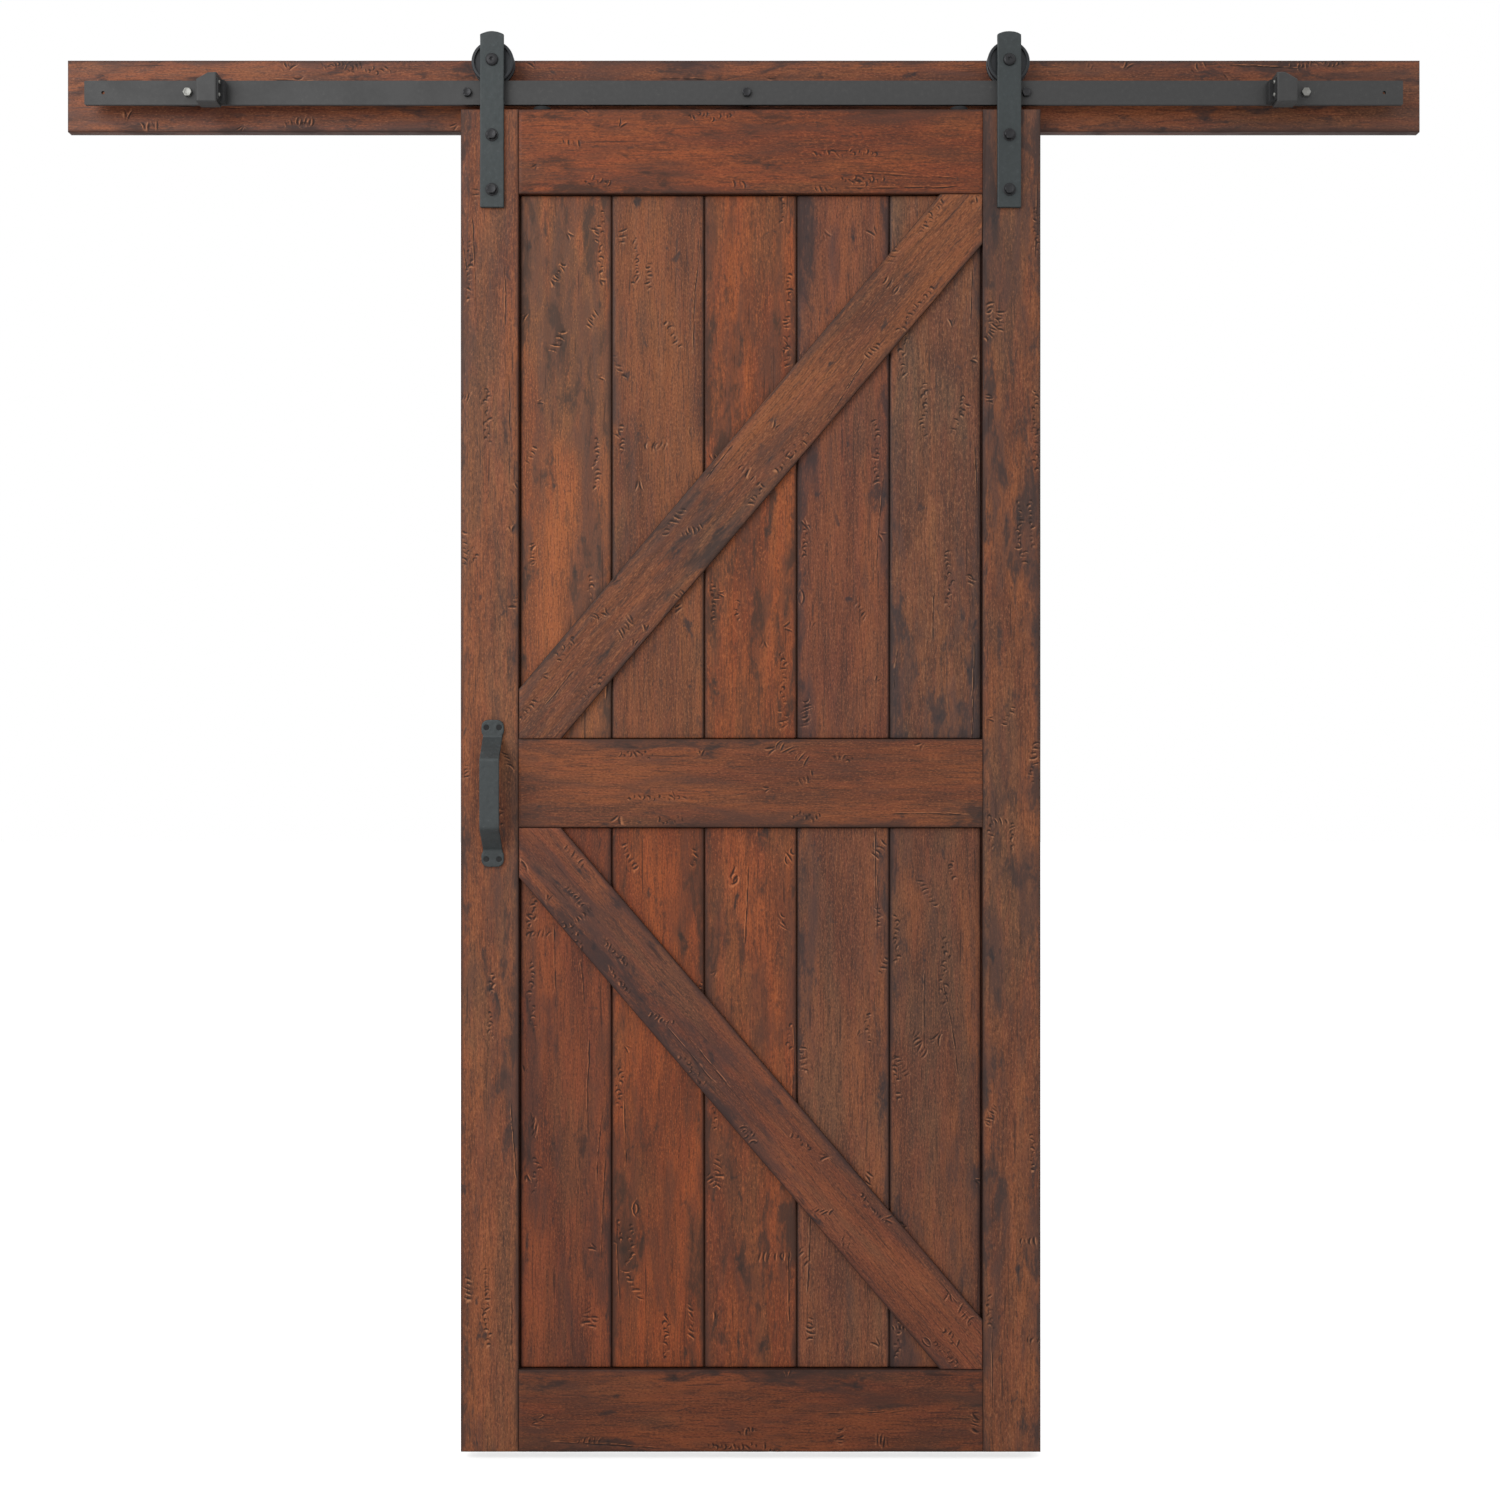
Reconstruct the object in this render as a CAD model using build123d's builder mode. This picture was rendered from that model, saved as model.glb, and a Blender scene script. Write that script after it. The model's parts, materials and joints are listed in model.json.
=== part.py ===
from build123d import *
from math import atan2, degrees, hypot
import os

os.makedirs("parts", exist_ok=True)

# A sliding barn door with its header board and flat track, in mm.
# X runs along the track, +Z is up, and Y = 0 is the wall with the room on its -Y side.
# A depth is a distance out from the wall, so depth d lies at Y = -d.
# The origin is the middle of the header board's back face.

# Header board
header_length = 2163.0
header_height = 114.3
header_thickness = 19.0
header_arris = 1.5

# Flat track and what holds it
track_length = 2086.0
track_height = 38.0
track_thickness = 6.0
track_top = 12.8
track_corner_radius = 2.0
track_end_hole_inset = 29.5
track_end_hole_radius = 2.8
spacer_length = 27.0
spacer_radius = 11.0
bolt_pitch = 442.0
bolt_row_centre = 5.0
bolt_count = 5
lag_shank_radius = 3.9
lag_thread_radius = 3.5
lag_hole_radius = 4.1
lag_head_flats = 12.7
lag_head_height = 5.4
lag_reach_into_wall = 45.0
lag_point_length = 7.0

# Door and its frame of stiles and rails
door_width = 914.4
door_thickness = 35.0
door_centre = 11.0
door_top = -35.5
gap_behind_door = 8.0
stile_width = 91.0
top_rail_height = 133.0
upper_opening_height = 860.1
middle_rail_height = 139.5
lower_opening_height = 855.3
bottom_rail_height = 129.6
door_arris = 1.2
frame_groove_width = 8.4
frame_groove_depth = 10.0
stub_tenon_thickness = 8.0
stub_tenon_length = 9.5
tenon_length = 30.0
tenon_shoulder = 24.0
mortise_play = 0.2
guide_groove_width = 9.0
guide_groove_depth = 20.0

# Tongue-and-groove planks and the braces laid over them
plank_count = 5
plank_thickness = 15.0
plank_recess = 10.0
plank_joint_gap = 0.8
plank_bevel = 2.4
plank_tongue_thickness = 5.0
plank_tongue_length = 6.0
plank_groove_width = 5.4
plank_groove_depth = 7.0
panel_tongue_thickness = 8.0
panel_tongue_reach = 9.0
shadow_gap = 1.2
brace_width = 101.6
brace_fit = 0.6
brace_arris = 1.5

# Hanger straps and the bolts through them
strap_width = 38.0
strap_thickness = 6.0
strap_inset = 50.0
strap_bottom = -192.0
strap_shoulder = 81.0
strap_crown = 86.0
strap_corner_radius = 1.5
strap_edge = 0.8
strap_bolt_heights = (-78.0, -164.0)
strap_bolt_radius = 4.0
strap_bolt_hole_radius = 4.2
strap_bolt_flats = 14.0
strap_bolt_flange_radius = 10.0
strap_bolt_flange_height = 1.6
strap_bolt_head_height = 7.0
strap_washer_radius = 11.0
strap_washer_thickness = 2.0
strap_nut_flats = 13.0
strap_nut_height = 6.5
bolt_end_stand_out = 1.0

# Grooved wheels and their ball bearings
wheel_radius = 33.5
groove_radius = 27.5
groove_floor_width = 7.6
groove_mouth_width = 9.4
wheel_width = 22.0
wheel_running_gap = 0.2
rim_ring_inner = 28.7
rim_edge = 1.2
hub_radius = 17.0
hub_recess = 2.0
web_recess = 4.0
wheel_lip_radius = 11.5
bearing_bore_radius = 5.05
bearing_outer_radius = 13.0
bearing_width = 8.0
ball_circle_radius = 9.0
ball_radius = 2.35
ball_groove_radius = 2.45
inner_ring_radius = 7.4
outer_ring_radius = 10.6
ball_count = 7
cage_inner_radius = 8.0
cage_outer_radius = 10.0
cage_width = 6.4
cage_pocket_radius = 2.45

# Axle bolt, its bush and its nut
axle_radius = 5.0
axle_hole_radius = 5.2
axle_head_radius = 10.0
axle_head_height = 4.2
axle_head_edge = 1.6
bush_radius = 7.2
axle_nut_flange_radius = 9.0
axle_nut_flange_height = 1.6
axle_nut_flats = 15.0
axle_nut_height = 9.0

# Pull handle, a flat bar bent out from the stile
handle_inset = 51.0
handle_centre_height = -1114.2
handle_length = 232.0
handle_plate_width = 36.0
handle_plate_height = 28.0
handle_plate_corner = 11.0
handle_bar_width = 31.0
handle_grip_length = 106.0
handle_stand_off = 40.0
handle_thickness = 5.0
handle_bend_radius = 2.5
handle_screw_spread = 10.0
handle_screw_height = 103.7
handle_screw_radius = 2.2
handle_screw_hole_radius = 2.4
handle_screw_head_radius = 4.2
handle_screw_sink_radius = 4.4
handle_screw_length = 24.0

# End stops clamped on the track, their rubber buffers and their screws
stop_reach = 831.0
stop_width = 32.0
stop_stand_out = 30.0
stop_bottom = -30.0
stop_top = 16.5
stop_outer_top = 5.7
stop_hook_width = 13.0
stop_jaw_gap = 0.2
stop_jaw_thickness = 5.8
stop_jaw_bottom = -22.0
stop_edge = 1.5
buffer_thickness = 10.0
buffer_flange_thickness = 2.5
buffer_height = 34.0
buffer_top = 8.0
buffer_depth = 16.0
buffer_back_inset = 2.0
buffer_flange_depth = 10.0
buffer_edge = 2.0
buffer_screw_heights = (2.4, -17.3)
buffer_screw_inset = 5.5
buffer_screw_radius = 1.5
buffer_screw_hole_radius = 1.6
buffer_screw_head_radius = 3.2
buffer_screw_head_height = 2.2
buffer_screw_head_taper = 20.0
buffer_screw_length = 11.0
set_screw_radius = 3.0
set_screw_height = -8.0
set_screw_socket_flats = 3.0
set_screw_socket_depth = 2.5

# Discs on the door's top edge that keep it from jumping off the track
jump_disc_radius = 14.0
jump_disc_thickness = 6.5
jump_disc_inset = 127.0
jump_screw_radius = 2.2
jump_screw_hole_radius = 2.4
jump_screw_head_radius = 4.2
jump_screw_sink_radius = 4.4
jump_screw_length = 26.0

# Levels worked out from the driving dimensions
track_back = header_thickness + spacer_length
track_front = track_back + track_thickness
track_middle = (track_back + track_front) / 2
track_bottom = track_top - track_height
track_axis = (track_top + track_bottom) / 2
bolt_xs = [bolt_row_centre + bolt_pitch * (i - bolt_count // 2) for i in range(bolt_count)]
door_back = header_thickness + gap_behind_door
door_front = door_back + door_thickness
door_middle = (door_back + door_front) / 2
door_left = door_centre - door_width / 2
door_right = door_centre + door_width / 2
opening_left = door_left + stile_width
opening_right = door_right - stile_width
upper_opening_top = door_top - top_rail_height
upper_opening_bottom = upper_opening_top - upper_opening_height
lower_opening_top = upper_opening_bottom - middle_rail_height
lower_opening_bottom = lower_opening_top - lower_opening_height
door_bottom = lower_opening_bottom - bottom_rail_height
plank_front = door_front - plank_recess
plank_back = plank_front - plank_thickness
strap_front = door_front + strap_thickness
strap_xs = {"left": door_left + strap_inset, "right": door_right - strap_inset}
wheel_height = track_top + groove_radius + wheel_running_gap
wheel_back = track_middle - wheel_width / 2
wheel_front = track_middle + wheel_width / 2
bearing_back = track_middle - bearing_width / 2
bearing_front = track_middle + bearing_width / 2
handle_x = door_left + handle_inset
jump_disc_xs = {"left": door_left + jump_disc_inset, "right": door_right - jump_disc_inset}
# The inner face of each stop, and the way from it towards the door
stops = {"left": (bolt_row_centre - stop_reach, 1), "right": (bolt_row_centre + stop_reach, -1)}


def bar(x, depth, z, mode=Mode.ADD):
    """A square-cornered block between two X values, two depths and two heights."""
    centre = (sum(x) / 2, -sum(depth) / 2, sum(z) / 2)
    with Locations(centre):
        Box(abs(x[1] - x[0]), abs(depth[1] - depth[0]), abs(z[1] - z[0]), mode=mode)


def turn(points, x, z, mode=Mode.ADD):
    """A turned solid from (radius, depth) points, about the axis at x, z that is square to the wall."""
    with BuildSketch(Plane(origin=(x, 0, z), x_dir=(1, 0, 0), z_dir=(0, 0, -1))) as profile:
        with BuildLine():
            Polyline(*points, close=True)
        make_face()
    revolve(profile.sketch, axis=Axis((x, 0, z), (0, 1, 0)), mode=mode)


def rod(x, z, radius, depth, mode=Mode.ADD):
    """A round rod or hole square to the wall, between two depths."""
    with BuildSketch(Plane.XZ.offset(min(depth))) as section:
        with Locations((x, z)):
            Circle(radius)
    extrude(section.sketch, amount=abs(depth[1] - depth[0]), mode=mode)


def hexagon(x, z, flats, depth, mode=Mode.ADD):
    """A hexagonal prism square to the wall, between two depths."""
    with BuildSketch(Plane.XZ.offset(min(depth))) as section:
        with Locations((x, z)):
            RegularPolygon(flats / 2, 6, major_radius=False)
    extrude(section.sketch, amount=abs(depth[1] - depth[0]), mode=mode)


# The header board, with its long edges eased and a hole for each lag bolt
with BuildPart() as header_board:
    header_ends = (-header_length / 2, header_length / 2)
    bar(header_ends, (0, header_thickness), (-header_height / 2, header_height / 2))
    chamfer(header_board.faces().sort_by(Axis.Y)[0].edges(), header_arris)
    for bolt_x in bolt_xs:
        rod(bolt_x, track_axis, lag_hole_radius, (0, header_thickness), Mode.SUBTRACT)
header_board.part.label = "header_board"
export_step(header_board.part, "parts/header_board.step")

# The track, one flat steel bar with rounded ends, five bolt holes and a small hole near each end
with BuildPart() as track:
    with BuildSketch(Plane.XZ.offset(track_back)):
        with Locations((0, track_axis)):
            RectangleRounded(track_length, track_height, track_corner_radius)
        with Locations([(bolt_x, track_axis) for bolt_x in bolt_xs]):
            Circle(lag_hole_radius, mode=Mode.SUBTRACT)
        with Locations([(side * (track_length / 2 - track_end_hole_inset), track_axis) for side in (-1, 1)]):
            Circle(track_end_hole_radius, mode=Mode.SUBTRACT)
    extrude(amount=track_thickness)
track.part.label = "track"
export_step(track.part, "parts/track.step")

# The tube spacers that hold the track off the header
for number, bolt_x in enumerate(bolt_xs, 1):
    with BuildPart() as spacer:
        rod(bolt_x, track_axis, spacer_radius, (header_thickness, track_back))
        rod(bolt_x, track_axis, lag_hole_radius, (header_thickness, track_back), Mode.SUBTRACT)
    spacer.part.label = f"track_spacer_{number}"
    export_step(spacer.part, f"parts/track_spacer_{number}.step")


def lag_bolt(x):
    """A hex lag bolt: a plain shank as far as the wall, then a thinner threaded length to its point."""
    turn(
        [
            (0, -lag_reach_into_wall),
            (lag_thread_radius, lag_point_length - lag_reach_into_wall),
            (lag_thread_radius, 0),
            (lag_shank_radius, 1),
            (lag_shank_radius, track_front),
            (0, track_front),
        ],
        x,
        track_axis,
    )
    hexagon(x, track_axis, lag_head_flats, (track_front, track_front + lag_head_height))


# The lag bolts: the two at the ends, beside the stops, and the three between them
for name, lag_xs in {"end_lag_bolts": bolt_xs[::4], "middle_lag_bolts": bolt_xs[1:4]}.items():
    with BuildPart() as lag_bolts:
        for bolt_x in lag_xs:
            lag_bolt(bolt_x)
    lag_bolts.part.label = name
    export_step(lag_bolts.part, f"parts/{name}.step")

# The end stops, steel blocks in front of the track, with a hook over its top edge and a jaw behind it.
# A rubber buffer is screwed to each block's inner face: a thick pad for the strap and a thin flange.
jaw_front = track_back - stop_jaw_gap
jaw_back = jaw_front - stop_jaw_thickness
pad_back = track_front + buffer_back_inset
pad_front = pad_back + buffer_depth
buffer_screw_points = [(-(pad_front + buffer_screw_inset), height) for height in buffer_screw_heights]
for side, (inner, way) in stops.items():
    outer = inner - way * stop_width
    hook_end = inner - way * stop_hook_width
    with BuildPart() as stop_block:
        with BuildSketch(Plane.XZ.offset(track_front)):
            with BuildLine():
                Polyline(
                    (inner, stop_bottom),
                    (inner, stop_top),
                    (hook_end, stop_top),
                    (outer, stop_outer_top),
                    (outer, stop_bottom),
                    close=True,
                )
            make_face()
        extrude(amount=stop_stand_out)
        chamfer(stop_block.faces().sort_by(Axis.Y)[0].edges(), stop_edge)
        bar((inner, hook_end), (jaw_back, track_front), (track_top, stop_top))
        bar((inner, hook_end), (jaw_back, jaw_front), (stop_jaw_bottom, stop_top))
        rod((inner + hook_end) / 2, set_screw_height, set_screw_radius, (jaw_back, jaw_front), Mode.SUBTRACT)
        with BuildSketch(Plane.YZ.offset(inner)):
            with Locations(buffer_screw_points):
                Circle(buffer_screw_hole_radius)
        extrude(amount=-way * buffer_screw_length, mode=Mode.SUBTRACT)
    stop_block.part.label = f"{side}_stop_block"
    export_step(stop_block.part, f"parts/{side}_stop_block.step")

    with BuildPart() as stop_buffer:
        buffer_heights = (buffer_top - buffer_height, buffer_top)
        bar((inner, inner + way * buffer_thickness), (pad_back, pad_front), buffer_heights)
        fillet(stop_buffer.faces().sort_by(Axis.X)[-1 if way > 0 else 0].edges(), buffer_edge)
        flange_front = pad_front + buffer_flange_depth
        bar((inner, inner + way * buffer_flange_thickness), (pad_front, flange_front), buffer_heights)
        with BuildSketch(Plane.YZ.offset(inner)):
            with Locations(buffer_screw_points):
                Circle(buffer_screw_hole_radius)
        extrude(amount=way * buffer_flange_thickness, mode=Mode.SUBTRACT)
    stop_buffer.part.label = f"{side}_stop_buffer"
    export_step(stop_buffer.part, f"parts/{side}_stop_buffer.step")

# The four pan-head screws of the buffers, each with its low rounded head on the flange
with BuildPart() as buffer_screws:
    for inner, way in stops.values():
        seat = inner + way * buffer_flange_thickness
        for depth_and_height in buffer_screw_points:
            with BuildSketch(Plane.YZ.offset(seat)):
                with Locations(depth_and_height):
                    Circle(buffer_screw_radius)
            extrude(amount=-way * (buffer_flange_thickness + buffer_screw_length - 1))
            with BuildSketch(Plane.YZ.offset(seat)):
                with Locations(depth_and_height):
                    Circle(buffer_screw_head_radius)
            extrude(amount=way * buffer_screw_head_height, taper=buffer_screw_head_taper)
buffer_screws.part.label = "buffer_screws"
export_step(buffer_screws.part, "parts/buffer_screws.step")

# The socket set screws that pinch the track between each stop's jaw and its block
with BuildPart() as set_screws:
    for inner, way in stops.values():
        screw_x = inner - way * stop_hook_width / 2
        rod(screw_x, set_screw_height, set_screw_radius, (jaw_back, track_back))
        socket = (jaw_back, jaw_back + set_screw_socket_depth)
        hexagon(screw_x, set_screw_height, set_screw_socket_flats, socket, Mode.SUBTRACT)
set_screws.part.label = "set_screws"
export_step(set_screws.part, "parts/set_screws.step")


# Heights of the two openings that the planks fill, and of the three rails
openings = {
    "upper": (upper_opening_bottom, upper_opening_top),
    "lower": (lower_opening_bottom, lower_opening_top),
}
rails = {
    "top_rail": (upper_opening_top, door_top),
    "middle_rail": (lower_opening_top, upper_opening_bottom),
    "bottom_rail": (door_bottom, lower_opening_bottom),
}
guide_groove_heights = (door_bottom, door_bottom + guide_groove_depth)
handle_screw_points = [
    (handle_x + across * handle_screw_spread, handle_centre_height + along * handle_screw_height)
    for across in (-1, 1)
    for along in (-1, 1)
]


def tongue(x, z, thickness):
    """A tongue or tenon in the middle of the door's thickness."""
    bar(x, (door_middle - thickness / 2, door_middle + thickness / 2), z)


def groove(x, z, width):
    """A groove or mortise in the middle of the door's thickness."""
    bar(x, (door_middle - width / 2, door_middle + width / 2), z, Mode.SUBTRACT)


# The stiles, with a groove down the inner edge for the planks, a mortise for each rail
# and the end of the floor guide's groove.
for side, inner, way in (("left", opening_left, 1), ("right", opening_right, -1)):
    outer = inner - way * stile_width
    with BuildPart() as stile:
        bar((inner, outer), (door_back, door_front), (door_bottom, door_top))
        wide_faces = stile.faces().sort_by(Axis.Y)
        chamfer(wide_faces[0].edges() + wide_faces[-1].edges(), door_arris)
        groove((inner, inner - way * frame_groove_depth), (door_bottom, door_top), frame_groove_width)
        for low, high in rails.values():
            mortise_heights = (low + tenon_shoulder - mortise_play, high - tenon_shoulder + mortise_play)
            groove((inner, inner - way * (tenon_length + 1)), mortise_heights, frame_groove_width)
        groove((inner, outer), guide_groove_heights, guide_groove_width)
        for height in strap_bolt_heights:
            rod(strap_xs[side], height, strap_bolt_hole_radius, (door_back, door_front), Mode.SUBTRACT)
        if side == "left":
            screw_end = door_front + handle_thickness - handle_screw_length
            for screw_x, height in handle_screw_points:
                rod(screw_x, height, handle_screw_hole_radius, (screw_end, door_front), Mode.SUBTRACT)
    stile.part.label = f"{side}_stile"
    export_step(stile.part, f"parts/{side}_stile.step")

# The rails. Stub tenons fill the stiles' grooves, and a longer tenon at each end enters its mortise.
for name, (low, high) in rails.items():
    with BuildPart() as rail:
        bar((opening_left, opening_right), (door_back, door_front), (low, high))
        wide_faces = rail.faces().sort_by(Axis.Y)
        chamfer(wide_faces[0].edges() + wide_faces[-1].edges(), door_arris)
        stub_ends = (opening_left - stub_tenon_length, opening_right + stub_tenon_length)
        tongue(stub_ends, (low, high), stub_tenon_thickness)
        tenon_ends = (opening_left - tenon_length, opening_right + tenon_length)
        tongue(tenon_ends, (low + tenon_shoulder, high - tenon_shoulder), stub_tenon_thickness)
        if name != "bottom_rail":
            groove(stub_ends, (low, low + frame_groove_depth), frame_groove_width)
        if name != "top_rail":
            groove(stub_ends, (high - frame_groove_depth, high), frame_groove_width)
        if name == "bottom_rail":
            groove(stub_ends, guide_groove_heights, guide_groove_width)
        if name == "top_rail":
            with Locations([(disc_x, -door_middle, door_top) for disc_x in jump_disc_xs.values()]):
                Hole(jump_screw_hole_radius, depth=jump_screw_length - jump_disc_thickness + 1)
    rail.part.label = name
    export_step(rail.part, f"parts/{name}.step")

# The planks of each panel, tongued and grooved together and bevelled to a V at every joint.
# Round the panel a thicker tongue enters the stiles and rails and leaves a narrow shadow gap.
plank_pitch = (opening_right - opening_left) / plank_count
for panel, (low, high) in openings.items():
    for number in range(1, plank_count + 1):
        first, last = number == 1, number == plank_count
        left_joint = opening_left + (number - 1) * plank_pitch
        right_joint = left_joint + plank_pitch
        left_edge = left_joint + (shadow_gap if first else plank_joint_gap / 2)
        right_edge = right_joint - (shadow_gap if last else plank_joint_gap / 2)
        face_heights = (low + shadow_gap, high - shadow_gap)
        tongue_heights = (low - panel_tongue_reach, high + panel_tongue_reach)
        with BuildPart() as plank:
            with BuildSketch(Plane.XY.offset(face_heights[0])) as section:
                with Locations(((left_edge + right_edge) / 2, -(plank_front + plank_back) / 2)):
                    Rectangle(right_edge - left_edge, plank_thickness)
                chamfer(section.vertices().group_by(Axis.Y)[0], plank_bevel)
            extrude(amount=face_heights[1] - face_heights[0])
            tongue((left_edge, right_edge), tongue_heights, panel_tongue_thickness)
            if first:
                tongue((left_joint - panel_tongue_reach, left_edge), tongue_heights, panel_tongue_thickness)
            else:
                groove((left_edge, left_edge + plank_groove_depth), tongue_heights, plank_groove_width)
            if last:
                tongue((right_edge, right_joint + panel_tongue_reach), tongue_heights, panel_tongue_thickness)
            else:
                tongue((right_edge, right_edge + plank_tongue_length), tongue_heights, plank_tongue_thickness)
        plank.part.label = f"{panel}_plank_{number}"
        export_step(plank.part, f"parts/{panel}_plank_{number}.step")

# The braces, a board across each panel from corner to corner, cut to the opening and flush with the frame
for panel, (low, high) in openings.items():
    opening_width, opening_height = opening_right - opening_left, high - low
    rise = 1 if panel == "upper" else -1
    with BuildPart() as brace:
        with BuildSketch(Plane.XZ.offset(plank_front)):
            with Locations((door_centre, (low + high) / 2)):
                slope = degrees(atan2(rise * opening_height, opening_width))
                Rectangle(hypot(opening_width, opening_height) + brace_width, brace_width, rotation=slope)
                Rectangle(opening_width - 2 * brace_fit, opening_height - 2 * brace_fit, mode=Mode.INTERSECT)
        extrude(amount=plank_recess)
        chamfer(brace.faces().sort_by(Axis.Y)[0].edges(), brace_arris)
    brace.part.label = f"{panel}_brace"
    export_step(brace.part, f"parts/{panel}_brace.step")

# The hanger straps, flat bar with a shallow arched top, bolted to the stiles and carrying the wheels
for side, strap_x in strap_xs.items():
    with BuildPart() as strap:
        with BuildSketch(Plane.XZ.offset(door_front)) as outline:
            with BuildLine():
                left_side, right_side = strap_x - strap_width / 2, strap_x + strap_width / 2
                sides = Polyline(
                    (left_side, strap_shoulder),
                    (left_side, strap_bottom),
                    (right_side, strap_bottom),
                    (right_side, strap_shoulder),
                )
                ThreePointArc(sides @ 1, (strap_x, strap_crown), sides @ 0)
            make_face()
            fillet(outline.vertices().group_by(Axis.Y)[0], strap_corner_radius)
        extrude(amount=strap_thickness)
        chamfer(strap.faces().sort_by(Axis.Y)[0].edges(), strap_edge)
        rod(strap_x, wheel_height, axle_hole_radius, (door_front, strap_front), Mode.SUBTRACT)
        for height in strap_bolt_heights:
            rod(strap_x, height, strap_bolt_hole_radius, (door_front, strap_front), Mode.SUBTRACT)
    strap.part.label = f"{side}_hanger_strap"
    export_step(strap.part, f"parts/{side}_hanger_strap.step")

# The four flange-head bolts that clamp the straps to the door, and the washers and nuts on the door's back
washer_back = door_back - strap_washer_thickness
nut_back = washer_back - strap_nut_height
strap_bolt_points = [(strap_x, height) for strap_x in strap_xs.values() for height in strap_bolt_heights]
with BuildPart() as strap_bolts:
    for bolt_x, height in strap_bolt_points:
        flange_front = strap_front + strap_bolt_flange_height
        rod(bolt_x, height, strap_bolt_radius, (nut_back - bolt_end_stand_out, strap_front))
        rod(bolt_x, height, strap_bolt_flange_radius, (strap_front, flange_front))
        hexagon(bolt_x, height, strap_bolt_flats, (flange_front, strap_front + strap_bolt_head_height))
strap_bolts.part.label = "strap_bolts"
export_step(strap_bolts.part, "parts/strap_bolts.step")

with BuildPart() as strap_washers:
    for bolt_x, height in strap_bolt_points:
        rod(bolt_x, height, strap_washer_radius, (washer_back, door_back))
        rod(bolt_x, height, strap_bolt_hole_radius, (washer_back, door_back), Mode.SUBTRACT)
strap_washers.part.label = "strap_washers"
export_step(strap_washers.part, "parts/strap_washers.step")

with BuildPart() as strap_nuts:
    for bolt_x, height in strap_bolt_points:
        hexagon(bolt_x, height, strap_nut_flats, (nut_back, washer_back))
        rod(bolt_x, height, strap_bolt_radius, (nut_back, washer_back), Mode.SUBTRACT)
strap_nuts.part.label = "strap_nuts"
export_step(strap_nuts.part, "parts/strap_nuts.step")


def ball_track(x):
    """Cut the round groove in which a bearing's balls run."""
    with BuildSketch(Plane(origin=(x, 0, wheel_height), x_dir=(1, 0, 0), z_dir=(0, 0, -1))) as track_section:
        with Locations((ball_circle_radius, track_middle)):
            Circle(ball_groove_radius)
    revolve(track_section.sketch, axis=Axis((x, 0, wheel_height), (0, 1, 0)), mode=Mode.SUBTRACT)


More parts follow.
